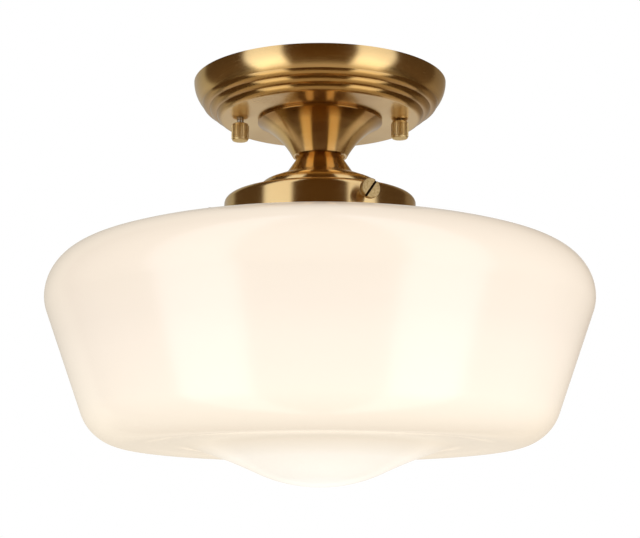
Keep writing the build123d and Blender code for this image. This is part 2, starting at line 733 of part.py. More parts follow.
def build():
    """Every sub-part by name. A list is a group of separate solids."""
    tube_nut_flats, tube_nut = TUBE_NUT
    upper_washer_top = PLATE_TOP_Z + WASHER[1]
    lower_washer_top = WEB_Z - SHEET
    parts = {
        "crossbar": crossbar(),
        "mounting_studs": mounting_studs(),
        "stud_nuts": stud_nuts(),
        "ground_screw": ground_screw(),
        "canopy": canopy(),
        "stem_cone": stem_cone(),
        "threaded_tube": threaded_tube(),
        "upper_washer": washer_on(upper_washer_top),
        "upper_nut": hex_nut(tube_nut_flats, tube_nut, TUBE_R, upper_washer_top + tube_nut),
        "shade_holder": shade_holder(),
        "lower_washer": washer_on(lower_washer_top),
        "lower_nut": hex_nut(tube_nut_flats, tube_nut, TUBE_R, lower_washer_top - WASHER[1]),
        "socket_strap": socket_strap(),
        "socket_screws": socket_screws(),
        "socket_body": socket_body(),
        "socket_shell": socket_shell(),
        "socket_contact": socket_contact(),
        "wire_connectors": wire_connectors(),
        "glass_lip": glass_lip(),
        "glass_neck": glass_neck(),
        "glass_shade": glass_shade(),
        "lamp_tip": lamp_tip(),
        "lamp_insulator": lamp_insulator(),
        "lamp_base": lamp_base(),
        "lamp_housing": lamp_housing(),
        "lamp_diffuser": lamp_diffuser(),
    }
    for side in CAP_NUT_GAPS:
        parts[f"cap_nut_{side}"] = cap_nut(side)
    for place, angle in THUMB_ANGLES.items():
        parts[f"thumb_screw_{place}"] = thumb_screw(angle)
    for name in CONNECTOR_X:
        parts[name] = lead(name)
    return parts


os.makedirs("parts", exist_ok=True)
for node, shape in build().items():
    solid_group = Compound(children=[solid for piece in shape for solid in piece.solids()]) if isinstance(shape, list) else shape
    export_step(solid_group, f"parts/{node}.step")
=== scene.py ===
"""Looks of a semi flush ceiling light: satin brass over an opal schoolhouse glass.

Every piece is modelled in millimetres in the part's own frame, and turned to
metres when its mesh is made. The ceiling is the plane Z = 0, -Y is the front.
"""

import math

import bmesh
import bpy
from mathutils import Matrix, Vector


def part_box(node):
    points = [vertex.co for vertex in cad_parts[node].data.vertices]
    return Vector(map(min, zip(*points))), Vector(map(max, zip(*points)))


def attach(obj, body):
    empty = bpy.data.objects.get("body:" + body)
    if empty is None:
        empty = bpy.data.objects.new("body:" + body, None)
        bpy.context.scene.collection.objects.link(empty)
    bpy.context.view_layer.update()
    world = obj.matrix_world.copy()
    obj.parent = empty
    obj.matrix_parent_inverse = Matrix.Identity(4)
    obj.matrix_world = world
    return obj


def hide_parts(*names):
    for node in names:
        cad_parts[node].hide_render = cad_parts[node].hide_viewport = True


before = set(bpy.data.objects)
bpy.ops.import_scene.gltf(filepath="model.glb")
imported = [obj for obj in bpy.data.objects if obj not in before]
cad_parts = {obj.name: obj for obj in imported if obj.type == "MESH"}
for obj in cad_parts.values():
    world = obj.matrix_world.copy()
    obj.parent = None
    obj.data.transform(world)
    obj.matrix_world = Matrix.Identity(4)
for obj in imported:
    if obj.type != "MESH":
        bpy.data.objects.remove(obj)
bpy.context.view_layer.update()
MM = 0.001

# ---------------------------------------------------------------- camera

PHOTO_WIDTH = 640.0
FOCAL_PX = 1517.57
SENSOR_MM = 36.0
CAMERA_PLACE = (0.0, -0.82473, -0.26908)
CAMERA_PITCH = 0.195


def stand_camera():
    """The photograph's camera: below the light, tilted up."""
    data = bpy.data.cameras.new("camera")
    data.sensor_width = SENSOR_MM
    data.lens = FOCAL_PX * SENSOR_MM / PHOTO_WIDTH
    data.clip_start = 0.05
    data.clip_end = 50.0
    camera = bpy.data.objects.new("camera", data)
    camera.location = CAMERA_PLACE
    camera.rotation_euler = (math.pi / 2 + CAMERA_PITCH, 0.0, 0.0)
    bpy.context.scene.collection.objects.link(camera)
    bpy.context.scene.camera = camera


# ----------------------------------------------------------- sizes, in millimetres
# A pair is a radius and a height, unless its comment says otherwise.

SHEET = 1.2
GLASS_WALL = 3.5

CANOPY_LOW, CANOPY_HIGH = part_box("canopy")
CANOPY_RIM_R = CANOPY_HIGH.x / MM
PLATE_Z = CANOPY_LOW.z / MM
CANOPY_WALL = (66.38, -11.61)         # the foot of the wall, where the beads begin
CANOPY_BULGE = 1.15
CANOPY_BEADS = 3
CANOPY_BEAD_RISE = 0.95
CANOPY_PLATE_R = 54.29

LIP_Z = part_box("stem_cone")[0].z / MM
STEM_BASE_R = 35.06
STEM_FOOT = 1.55
STEM_FOOT_R = 34.0
STEM_FOOT_BOW = 0.45
STEM_LIP_R = 15.27
STEM_BASE_FALL = 25.6                 # degrees below level, at the foot
STEM_LIP_LEAN = 28.0                  # degrees off plumb, at the lip
STEM_WEB_CORNER = (0.2, 0.3)          # between the web and the flare's inside

HOLDER_LOW, HOLDER_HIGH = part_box("shade_holder")
HOLDER_Z = HOLDER_LOW.z / MM
BAND_R = 53.37
WEB_Z = HOLDER_HIGH.z / MM
NECK_R = 12.12
FLARE = (19.25, LIP_Z - 10.43)
RING_R = 34.4
RING_Z = FLARE[1] - 6.28
RING_ROUND = 6.0
SHOULDER_Z = RING_Z - 5.94
SHOULDER_SLOPE = 7.2                  # degrees
SHOULDER_ROUND = 3.37
HOLDER_BEND = 0.5                     # the tight bends of the sheet, on the outside
TUBE_HOLE_R = 5.3

GLASS_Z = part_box("glass_shade")[0].z / MM
GLASS_TOP_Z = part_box("glass_lip")[1].z / MM
GLASS_R = 149.86
GLASS_LIP_R = 49.7
GLASS_LIP_ROUND = 1.5
GLASS_NECK_R = 45.0
GLASS_NECK_ROUND = 0.75               # where the neck meets the body
GLASS_MOUTH_R = 47.0

THUMB_ANGLES = {"front": -65.0, "rear": 53.5, "left": 171.5}    # degrees from +X towards +Y
THUMB_Z = HOLDER_Z + 12.0
THUMB_HEAD_IN = 60.4                  # from the light's axis to the underside of a head
THUMB_HEAD = 3.0
THUMB_HEAD_R = 5.35
THUMB_ROUNDS = (0.35, 0.3, 0.2)       # the head's outer edge, its inner edge, its meeting with the shank
THUMB_R = 2.0
THUMB_LENGTH = 10.0
THUMB_CORE_R = 1.66
THUMB_TIP = (1.3, 0.4)                # radius at the tip, length of its chamfer
LIP_TO_THUMB = 0.4                    # the glass's lip over the thumb screws
SLOT_TILT = 55.0                      # degrees
SLOT_WIDTH = 1.3
SLOT_DEPTH = 1.2
SLOT_SHADE_OVER = 0.05                 # how far the painted shade reaches past the slot's sides and stays under its top

NUT_R = 4.9
NUT_ENDS_STEP = 0.15                  # the plain ends, below the knurl's root
NUT_ROUNDS = (0.6, 0.45)              # the lower and the upper edge
NUT_KNURL = 0.28
NUT_TEETH = 34
NUT_RIM = 0.75                        # plain end beside the knurl
TOOTH_ROOT = 0.25                     # a ridge's foot, below the knurl's root
TOOTH_END = 0.5                       # length of the slope at a ridge's end
NUT_BORE = (2.1, 7.8)                 # radius, depth
BORE_CHAMFER = 0.25
BORE_CONE = 0.8                       # the drill's point, past the depth

STUD_R = 2.0
STUD_X = 45.0
STUD_LENGTH = 28.0
STUD_CORE_R = 1.68
STUD_TIP = (1.45, 0.35)               # radius at the tip, length of its chamfer
STUD_PLAIN_END = 0.5
THREAD_PITCH = 0.7
THREAD_RIDGE_R = 0.42 * THREAD_PITCH
THREAD_STEPS = 28                     # points in each turn
THREAD_SIDES = 6

LATHE_STEPS = 224                     # faces round a turned piece
ARC_STEP = 3.0                        # about the longest face along an arc
ARC_DEGREES = 2.0                     # about the widest turn from one to the next
ARC_LEAST = 6                         # fewest faces along an arc
SAME_POINT = 1e-4                     # points nearer than this are one, and nearer the axis are on it


# ------------------------------------------------------------------ outlines

def polar(length, degrees):
    """The step of a length in a direction."""
    angle = math.radians(degrees)
    return length * math.cos(angle), length * math.sin(angle)


def moved(point, step):
    """A point moved by a step."""
    return point[0] + step[0], point[1] + step[1]


def arc(centre, radius, start, sweep, steps=12):
    """Points along an arc, in degrees, both ends included."""
    return [moved(centre, polar(radius, start + sweep * step / steps)) for step in range(steps + 1)]


def bent(start, heading, end):
    """The arc that leaves start at a heading and reaches end: its centre, radius, first angle and sweep."""
    chord = (end[0] - start[0], end[1] - start[1])
    off_chord = math.degrees(math.atan2(chord[1], chord[0])) - heading
    sweep = 2 * (off_chord - 360 * round(off_chord / 360))
    radius = math.hypot(*chord) / 2 / abs(math.sin(math.radians(sweep / 2)))
    centre = moved(start, polar(radius, heading + math.copysign(90, sweep)))
    return centre, radius, heading - math.copysign(90, sweep), sweep


def bent_twice(start, heading, end, end_heading, share=1.0):
    """Two arcs in line with each other and with the headings at both ends."""
    leave = polar(1, heading)
    arrive = polar(1, end_heading)
    across = (end[0] - start[0], end[1] - start[1])
    both = (leave[0] + share * arrive[0], leave[1] + share * arrive[1])
    along = across[0] * both[0] + across[1] * both[1]
    spare = (1 + share) ** 2 - both[0] ** 2 - both[1] ** 2
    square = across[0] ** 2 + across[1] ** 2
    reach = square / (along + math.sqrt(along ** 2 + spare * square))
    corner = moved(start, polar(reach, heading))
    last_corner = moved(end, polar(-share * reach, end_heading))
    step = ((last_corner[0] - corner[0]) / (1 + share), (last_corner[1] - corner[1]) / (1 + share))
    joint = moved(corner, step)
    return [bent(start, heading, joint), bent(joint, math.degrees(math.atan2(step[1], step[0])), end)]


def bowed(start, end, rise, steps):
    """An arc from start to end that stands off its chord, to the left of the way if rise is positive."""
    chord = math.dist(start, end)
    way = math.degrees(math.atan2(end[1] - start[1], end[0] - start[0]))
    lean = 2 * math.degrees(math.atan2(2 * rise, chord))
    return arc(*bent(start, way + lean, end), steps)


def skin(arcs, inset=0.0):
    """Points along the arcs of a surface, moved to the right of their travel by a wall."""
    points = []
    for centre, radius, first, sweep in arcs:
        length = abs(math.radians(sweep)) * radius
        steps = max(ARC_LEAST, round(abs(sweep) / ARC_DEGREES), round(length / ARC_STEP))
        points += arc(centre, radius + math.copysign(inset, sweep), first, sweep, steps)
    return points


def rounded(points, radii, steps):
    """A run of straight stretches whose inner corners are rounded, one radius for each."""
    line = [points[0]]
    for before, corner, after, radius in zip(points, points[1:], points[2:], radii):
        if radius <= 0:
            line.append(corner)
            continue
        back = Vector(before) - Vector(corner)
        on = Vector(after) - Vector(corner)
        back.normalize()
        on.normalize()
        half = back.angle(on) / 2
        reach = radius / math.tan(half)
        middle = (back + on).normalized()
        centre = Vector(corner) + middle * radius / math.sin(half)
        first = Vector(corner) + back * reach - centre
        turn = first.angle_signed(Vector(corner) + on * reach - centre)
        for step in range(steps + 1):
            spoke = first.copy()
            spoke.rotate(Matrix.Rotation(-turn * step / steps, 2))
            line.append(tuple(centre + spoke))
    line.append(points[-1])
    return line


def set_in(points, inset):
    """A run of straight stretches moved to its right by a wall, mitred at the corners."""
    normals = []
    for start, end in zip(points, points[1:]):
        length = math.dist(start, end)
        normals.append(((end[1] - start[1]) / length, (start[0] - end[0]) / length))
    steps = [normals[0]]
    for before, after in zip(normals, normals[1:]):
        share = 1 + before[0] * after[0] + before[1] * after[1]
        steps.append(((before[0] + after[0]) / share, (before[1] + after[1]) / share))
    steps.append(normals[-1])
    return [moved(point, (inset * step[0], inset * step[1])) for point, step in zip(points, steps)]


# -------------------------------------------------------------------- meshes

def new_piece(name, mesh):
    """An object in the scene for a mesh."""
    piece = bpy.data.objects.new(name, mesh)
    bpy.context.scene.collection.objects.link(piece)
    return piece


def mesh_from(name, builder, unit=MM):
    """A mesh in metres from a bmesh in millimetres, or in the unit given. It frees the bmesh."""
    bmesh.ops.scale(builder, vec=(unit, unit, unit), verts=builder.verts)
    mesh = bpy.data.meshes.new(name)
    builder.to_mesh(mesh)
    builder.free()
    return mesh


def lathe(name, outline, closed=False, steps=LATHE_STEPS, crease=26.0):
    """A turned piece. A closed outline is a ring's section, an open one runs from axis to axis.

    Bends in the outline sharper than crease, in degrees, stay sharp edges.
    """
    builder = bmesh.new()
    points = [outline[0]]
    for point in outline[1:]:
        if math.dist(point, points[-1]) > SAME_POINT:
            points.append(point)
    if closed and math.dist(points[0], points[-1]) < SAME_POINT:
        points.pop()
    rings = []
    for radius, height in points:
        if radius < SAME_POINT:
            rings.append([builder.verts.new((0, 0, height))])
            continue
        ring = []
        for step in range(steps):
            angle = 2 * math.pi * step / steps
            ring.append(builder.verts.new((radius * math.cos(angle), radius * math.sin(angle), height)))
        rings.append(ring)
    pairs = list(zip(rings, rings[1:]))
    if closed:
        pairs.append((rings[-1], rings[0]))
    for above, below in pairs:
        for step in range(steps):
            after = (step + 1) % steps
            corners = [above[step % len(above)], above[after % len(above)],
                       below[after % len(below)], below[step % len(below)]]
            corners = list(dict.fromkeys(corners))
            if len(corners) > 2:
                builder.faces.new(corners)
    bmesh.ops.recalc_face_normals(builder, faces=builder.faces)
    for face in builder.faces:
        face.smooth = True
    count = len(points)
    for index, ring in enumerate(rings):
        if len(ring) == 1 or (not closed and index in (0, count - 1)):
            continue
        before = Vector(points[index]) - Vector(points[index - 1])
        after = Vector(points[(index + 1) % count]) - Vector(points[index])
        if math.degrees(before.angle(after)) > crease:
            for step in range(steps):
                edge = builder.edges.get((ring[step], ring[(step + 1) % steps]))
                if edge:
                    edge.smooth = False
    return new_piece(name, mesh_from(name, builder))


def finish_mesh(piece):
    """Works a piece's modifiers into its mesh."""
    shapes = bpy.context.evaluated_depsgraph_get()
    mesh = bpy.data.meshes.new_from_object(piece.evaluated_get(shapes))
    piece.modifiers.clear()
    old = piece.data
    piece.data = mesh
    mesh.name = piece.name
    if old.users == 0:
        bpy.data.meshes.remove(old)


def cut_away(piece, tool):
    """Cuts a tool's shape out of a piece."""
    knife = piece.modifiers.new("cut", "BOOLEAN")
    knife.operation = "DIFFERENCE"
    knife.object = tool
    knife.solver = "EXACT"
    finish_mesh(piece)
    bpy.data.objects.remove(tool)


def joined(name, pieces):
    """Several meshes as one piece."""
    builder = bmesh.new()
    for piece in pieces:
        builder.from_mesh(piece.data)
    mesh = mesh_from(name, builder, unit=1.0)
    for piece in pieces:
        bpy.data.objects.remove(piece)
    return new_piece(name, mesh)


# ----------------------------------------------------------------- materials

def hex_colour(code):
    """An sRGB hex value as linear red, green, blue and one."""
    channels = [int(code[place:place + 2], 16) / 255 for place in (0, 2, 4)]
    return [c / 12.92 if c <= 0.04045 else ((c + 0.055) / 1.055) ** 2.4 for c in channels] + [1.0]


def node(tree, kind, settings=None, inputs=None, stops=()):
    """A node with its settings, and its inputs set to values or linked to sockets.

    The stops of a colour ramp are (place, hex colour), from the lowest up.
    """
    made = tree.nodes.new(kind)
    for name, value in (settings or {}).items():
        setattr(made, name, value)
    for key, value in (inputs or {}).items():
        if isinstance(value, bpy.types.NodeSocket):
            tree.links.new(value, made.inputs[key])
        else:
            made.inputs[key].default_value = value
    if stops:
        (first, first_colour), *others = stops
        elements = made.color_ramp.elements
        elements.remove(elements[-1])
        elements[0].position = first
        elements[0].color = hex_colour(first_colour)
        for place, colour in others:
            elements.new(place).color = hex_colour(colour)
    return made


def new_material(name):
    """A material without nodes, and its tree."""
    material = bpy.data.materials.new(name)
    material.use_nodes = True
    tree = material.node_tree
    tree.nodes.clear()
    return material, tree


# How many marks go in a metre along X, Y and Z, and the size of one in millimetres.
# All but the patches and the mottle are finer on the real light, and would not
# show at this distance, so they are drawn as coarse as they need to show.
SPINNING_RINGS = (60, 60, 3500)       # 0.29 high, and drawn out to 17 round the axis
TONE_PATCHES = (22, 22, 40)           # 45 wide, 25 high
NUT_TOOL_MARKS = (600, 600, 250)      # 1.7 wide, 4 high
THUMB_TOOL_MARKS = (900, 900, 900)    # 1.1
PLATING_MOTTLE = (400, 400, 400)      # 2.5
MOULD_GRAIN = (1200, 1200, 1200)      # 0.83
# How deep a bump may go.
TOOL_MARK_DEPTH = 0.1 * MM
GRAIN_DEPTH = 0.05 * MM
# painted shade: the dark brown put into the thumb screws' slots
SLOT_PAINTED_SHADE = "2A1C0E"


def marks(tree, place, to_the_metre, detail=3.0, roughness=0.55):
    """How strongly a surface is marked at a place, in its object's own coordinates."""
    mapped = node(tree, "ShaderNodeMapping", inputs={"Vector": place, "Scale": to_the_metre})
    noise = node(tree, "ShaderNodeTexNoise", inputs={
        "Vector": mapped.outputs["Vector"], "Scale": 1.0, "Detail": detail, "Roughness": roughness})
    return noise.outputs["Fac"]


def spun_brass(name, base, shade, roughness, painted_shade=None):
    """Brass spun on a lathe, polished round and lacquered.

    Fine rings round the axis soften a reflection along the outline and leave
    its sides crisp, and wide patches make the tone uneven. The lacquer lies
    over them as a thin clear coat. Shade is painted into the colour in recesses,
    by heights given as (height in millimetres, hex colour), from the lowest up.
    """
    material, tree = new_material(name)
    place = node(tree, "ShaderNodeTexCoord").outputs["Object"]
    rings = marks(tree, place, SPINNING_RINGS, 4.0, 0.6)
    patches = marks(tree, place, TONE_PATCHES, 2.0)
    tone = node(tree, "ShaderNodeValToRGB", inputs={"Fac": patches},
                stops=[(0.3, shade), (0.7, base)]).outputs["Color"]
    if painted_shade:
        foot, top = painted_shade[0][0], painted_shade[-1][0]
        height = node(tree, "ShaderNodeSeparateXYZ", inputs={"Vector": place}).outputs["Z"]
        rise = node(tree, "ShaderNodeMapRange", inputs={
            "Value": height, "From Min": foot * MM, "From Max": top * MM})
        # painted shade: a ramp by height that darkens the brass's colour
        depth = node(tree, "ShaderNodeValToRGB", inputs={"Fac": rise.outputs["Result"]},
                     stops=[((z - foot) / (top - foot), colour) for z, colour in painted_shade])
        tone = node(tree, "ShaderNodeMix", {"data_type": "RGBA", "blend_type": "MULTIPLY"}, {
            "Factor": 1.0, 6: tone, 7: depth.outputs["Color"]}).outputs[2]
    gloss = node(tree, "ShaderNodeMapRange", inputs={
        "Value": rings, "From Min": 0.3, "From Max": 0.7, "To Min": roughness * 0.8, "To Max": roughness * 1.25})
    bump = node(tree, "ShaderNodeBump", inputs={"Height": rings, "Strength": 0.012, "Distance": TOOL_MARK_DEPTH})
    around = node(tree, "ShaderNodeTangent", {"direction_type": "RADIAL", "axis": "Z"})
    shader = node(tree, "ShaderNodeBsdfPrincipled", inputs={
        "Base Color": tone, "Metallic": 1.0, "Roughness": gloss.outputs["Result"],
        "Anisotropic": 0.9, "Anisotropic Rotation": 0.25, "Coat Weight": 0.5, "Coat Roughness": 0.12,
        "Normal": bump.outputs["Normal"], "Tangent": around.outputs["Tangent"]})
    node(tree, "ShaderNodeOutputMaterial", inputs={"Surface": shader.outputs["BSDF"]})
    return material


def turned_brass(name, base, shade, roughness, tool_marks, strength, painted_shade_faces=None):
    """Brass turned from bar: duller than spun brass, and uneven from its tool marks.

    Shade is painted dark onto the faces that the piece's own attribute, named by the last argument, marks.
    """
    material, tree = new_material(name)
    place = node(tree, "ShaderNodeTexCoord").outputs["Object"]
    marked = marks(tree, place, tool_marks, 3.0, 0.6)
    colour = node(tree, "ShaderNodeValToRGB", inputs={"Fac": marked},
                  stops=[(0.35, shade), (0.65, base)]).outputs["Color"]
    if painted_shade_faces:
        # painted shade: the marked faces are mixed towards a dark brown
        painted_slot_shade = node(tree, "ShaderNodeAttribute", {"attribute_name": painted_shade_faces})
        colour = node(tree, "ShaderNodeMix", {"data_type": "RGBA"}, {
            "Factor": painted_slot_shade.outputs["Fac"], 6: colour, 7: hex_colour(SLOT_PAINTED_SHADE)}).outputs[2]
    bump = node(tree, "ShaderNodeBump", inputs={
        "Height": marked, "Strength": strength, "Distance": TOOL_MARK_DEPTH})
    shader = node(tree, "ShaderNodeBsdfPrincipled", inputs={
        "Base Color": colour, "Metallic": 1.0, "Roughness": roughness, "Normal": bump.outputs["Normal"]})
    node(tree, "ShaderNodeOutputMaterial", inputs={"Surface": shader.outputs["BSDF"]})
    return material


def opal_glass():
    """Blown opal glass: milky under a gloss skin, with painted light and shade in its colour by height, and the
    bulb's light painted on as a warm emission, strongest near its lowest point.
    """
    material, tree = new_material("opal_glass")
    place = node(tree, "ShaderNodeTexCoord").outputs["Object"]
    height = node(tree, "ShaderNodeSeparateXYZ", inputs={"Vector": place}).outputs["Z"]
    rise = node(tree, "ShaderNodeMapRange", inputs={
        "Value": height, "From Min": GLASS_Z * MM, "From Max": HOLDER_Z * MM}).outputs["Result"]
    # painted light and shade: the milk colour made lighter or darker by height
    milk_and_painted_shade = node(tree, "ShaderNodeValToRGB", inputs={"Fac": rise}, stops=[
        (0.0, "FEFBF2"), (0.12, "F6EBDC"), (0.45, "FBEEDF"), (1.0, "F8E9D6")])
    # painted light: a warm emission by height, brightest at the lowest point, standing for the lit bulb inside
    painted_glow = node(tree, "ShaderNodeValToRGB", inputs={"Fac": rise}, stops=[
        (0.0, "FFFFFC"), (0.03, "EEE6DC"), (0.1, "F6F0E8"), (0.15, "D2BEA0"), (0.3, "ABA294"),
        (0.55, "6A6460"), (1.0, "40382F")])
    shader = node(tree, "ShaderNodeBsdfPrincipled", inputs={
        "Base Color": milk_and_painted_shade.outputs["Color"], "Roughness": 0.16, "IOR": 1.5,
        "Emission Color": painted_glow.outputs["Color"], "Emission Strength": 0.35})
    node(tree, "ShaderNodeOutputMaterial", inputs={"Surface": shader.outputs["BSDF"]})
    return material


def mottled_metal(name, colour, roughness):
    """Plated, rolled or stamped metal: one colour, half bright, with a mottled gloss."""
    material, tree = new_material(name)
    place = node(tree, "ShaderNodeTexCoord").outputs["Object"]
    mottle = marks(tree, place, PLATING_MOTTLE)
    gloss = node(tree, "ShaderNodeMapRange", inputs={
        "Value": mottle, "To Min": roughness * 0.7, "To Max": roughness * 1.4})
    shader = node(tree, "ShaderNodeBsdfPrincipled", inputs={
        "Base Color": hex_colour(colour), "Metallic": 1.0, "Roughness": gloss.outputs["Result"]})
    node(tree, "ShaderNodeOutputMaterial", inputs={"Surface": shader.outputs["BSDF"]})
    return material


def moulded(name, colour, roughness):
    """A moulded or glazed skin: one colour, with a shallow grain that barely breaks its gloss."""
    material, tree = new_material(name)
    place = node(tree, "ShaderNodeTexCoord").outputs["Object"]
    bump = node(tree, "ShaderNodeBump", inputs={
        "Height": marks(tree, place, MOULD_GRAIN), "Strength": 0.05, "Distance": GRAIN_DEPTH})
    shader = node(tree, "ShaderNodeBsdfPrincipled", inputs={
        "Base Color": hex_colour(colour), "Roughness": roughness, "Normal": bump.outputs["Normal"]})
    node(tree, "ShaderNodeOutputMaterial", inputs={"Surface": shader.outputs["BSDF"]})
    return material


# the canopy: long soft streaks down its wall, and painted shade darkening the beads between the plate and the
# wall's foot
CANOPY_BRASS = spun_brass("canopy_brass", "E0BF80", "D6B273", 0.22, [
    (PLATE_Z, "FFFFFF"), (PLATE_Z + 0.8, "CDBF9E"), (CANOPY_WALL[1] - 1.0, "D6C9AC"),
    (CANOPY_WALL[1] + 1.5, "FFFFFF")])
# the stem cover: a little glossier, with painted shade darkening its foot in the recess under the canopy
STEM_BRASS = spun_brass("stem_brass", "E0BF80", "D6B273", 0.18, [
    (PLATE_Z - 6.0, "FFFFFF"), (PLATE_Z - 2.5, "C4B496"), (PLATE_Z, "B8A684")])
# the shade holder: satin streaks on its ring, shoulder and band
HOLDER_BRASS = spun_brass("holder_brass", "E0BF80", "D6B273", 0.2)
# the cap nuts: pale and dull, so that their knurl shows
NUT_BRASS = turned_brass("nut_brass", "F4DEA6", "E6C987", 0.42, NUT_TOOL_MARKS, 0.05)
# the thumb screws: browner, with coarse tool marks and painted shade in the slot
THUMB_BRASS = turned_brass("thumb_brass", "BFA471", "A38654", 0.34, THUMB_TOOL_MARKS, 0.12, painted_shade_faces="slot_dirt")
# the shade: white, with painted shading by height and a painted warm light from within
OPAL_GLASS = opal_glass()
# studs, tube, straps, nuts and screws, zinc plated: pale grey with a soft gleam
ZINC_STEEL = mottled_metal("zinc_steel", "DCDCD8", 0.28)
# the ground screw, plated and dyed: green metal, duller than the rest
GREEN_STEEL = mottled_metal("green_steel", "2E7A48", 0.4)
# screw shell and lamp base, rolled sheet alloy: a cooler grey
SHELL_ALLOY = mottled_metal("shell_alloy", "C8C8CA", 0.28)
# the contacts, stamped brass: yellow and bare
CONTACT_BRASS = mottled_metal("contact_brass", "C9A45E", 0.3)
# the lampholder, glazed porcelain: off-white and glossy
PORCELAIN = moulded("porcelain", "EFEDE6", 0.12)
# the wire connectors, moulded plastic: orange, half matt
CONNECTOR_PLASTIC = moulded("connector_plastic", "D8641E", 0.5)
# the bulb's housing, moulded plastic: white, faintly glossy
LAMP_WHITE = moulded("lamp_white", "F2F1EC", 0.4)
# the bulb's diffuser, frosted plastic: warm white and matt
LAMP_FROST = moulded("lamp_frost", "EADFCB", 0.55)
# the bulb's insulator, dark glass: nearly black and glossy
LAMP_BLACK = moulded("lamp_insulator", "1C1C20", 0.3)
# the leads, sleeved in soft plastic: black, white and green with a dull sheen
LEAD_BLACK = moulded("lead_black", "18181A", 0.42)
LEAD_WHITE = moulded("lead_white", "E6E5E0", 0.42)
LEAD_GREEN = moulded("lead_green", "1F6B38", 0.42)


def dress(piece, material):
    """Gives a piece its one finish."""
    piece.data.materials.clear()
    piece.data.materials.append(material)


def place_piece(piece, body, material, slot, *nodes):
    """Puts a finished piece on its body, in its finish, standing for CAD nodes."""
    dress(piece, material)
    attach(piece, body)
    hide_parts(*nodes)


# ---------------------------------------------------------------- brass covers

def make_canopy():
    """Spun pan with three rounded beads and a flat plate."""
    plate_edge = (CANOPY_PLATE_R, PLATE_Z)
    outline = bowed((CANOPY_RIM_R, 0), CANOPY_WALL, CANOPY_BULGE, steps=20)
    start = CANOPY_WALL
    for bead in range(1, CANOPY_BEADS + 1):
        share = bead / CANOPY_BEADS
        end = (CANOPY_WALL[0] + (plate_edge[0] - CANOPY_WALL[0]) * share,
               CANOPY_WALL[1] + (plate_edge[1] - CANOPY_WALL[1]) * share)
        outline += bowed(start, end, CANOPY_BEAD_RISE, steps=12)
        start = end
    slope = math.atan2(CANOPY_WALL[1] - PLATE_Z, CANOPY_WALL[0] - CANOPY_PLATE_R)
    inner_foot = (CANOPY_WALL[0] - SHEET * math.sin(slope), CANOPY_WALL[1] + SHEET * math.cos(slope))
    inner_plate = (CANOPY_PLATE_R - SHEET * math.tan(slope / 2), PLATE_Z + SHEET)
    outline += [(TUBE_HOLE_R, PLATE_Z), (TUBE_HOLE_R, PLATE_Z + SHEET), inner_plate]
    outline += bowed(inner_foot, (CANOPY_RIM_R - SHEET, 0), -CANOPY_BULGE, steps=16)
    pan = lathe("canopy_pan", outline, closed=True)
    place_piece(pan, "fixture", CANOPY_BRASS, "canopy_brass", "canopy")


def make_stem():
    """Trumpet cover: a rounded foot, a flare, a lip and a web set into it."""
    base = (STEM_BASE_R, PLATE_Z - STEM_FOOT)
    flare = bent_twice(base, 180 + STEM_BASE_FALL, (STEM_LIP_R, LIP_Z), 270 - STEM_LIP_LEAN)
    web_top = WEB_Z + SHEET
    corner_in, corner_rise = STEM_WEB_CORNER
    inside = [point for point in skin(flare, SHEET) if point[1] > web_top + corner_rise]
    outline = bowed((STEM_FOOT_R, PLATE_Z), base, STEM_FOOT_BOW, steps=8) + skin(flare)
    outline += [(STEM_LIP_R - SHEET, LIP_Z), (STEM_LIP_R - SHEET, WEB_Z), (TUBE_HOLE_R, WEB_Z),
                (TUBE_HOLE_R, web_top), (inside[-1][0] - corner_in, web_top)]
    outline += list(reversed(inside))
    outline += [(inside[0][0], PLATE_Z)]
    cone = lathe("stem_trumpet", outline, closed=True)
    place_piece(cone, "fixture", STEM_BRASS, "stem_brass", "stem_cone")


def holder_outline(inset):
    """The holder from its hole to the band's lower edge, set in by its wall."""
    foot_z = SHOULDER_Z - (BAND_R - RING_R) * math.tan(math.radians(SHOULDER_SLOPE))
    corners = [(TUBE_HOLE_R, WEB_Z), (NECK_R, WEB_Z), (NECK_R, LIP_Z), FLARE, (RING_R, RING_Z),
               (RING_R, SHOULDER_Z), (BAND_R, foot_z), (BAND_R, HOLDER_Z)]
    radii = [max(HOLDER_BEND - inset, 0), HOLDER_BEND + inset, HOLDER_BEND + inset, RING_ROUND - inset,
             HOLDER_BEND + inset, SHOULDER_ROUND - inset]
    return rounded(set_in(corners, inset), radii, steps=10)


def make_holder():
    """Spun fitter for the glass: neck, ring, sloping shoulder and a plain band."""
    outline = holder_outline(0) + list(reversed(holder_outline(SHEET)))
    shell = lathe("holder_shell", outline, closed=True)
    place_piece(shell, "fixture", HOLDER_BRASS, "holder_brass", "shade_holder")


# --------------------------------------------------------------------- glass

# Heights are over the glass's lowest point, and slopes are in degrees. A share
# is how long the second of two arcs in line reaches, with the first as one.
GLASS_SHOULDER_SLOPE = 10.56
GLASS_SHOULDER = (42.1, 8.09, 9.13)   # in from the widest, down from the holder, slope
GLASS_SHOULDER_SHARES = (0.7, 1.4)
GLASS_WIDEST_RISE = 100.62
GLASS_TURN_R = 23.03
GLASS_TAPER = 19.81
GLASS_CORNER_R = 25.88
GLASS_RING_RISE = 21.0
GLASS_VALLEY = (83.8, 22.8)
GLASS_FLANK = (34.3, 7.5, 25.0)       # radius, height, slope
GLASS_VALLEY_SHARE = 2.0


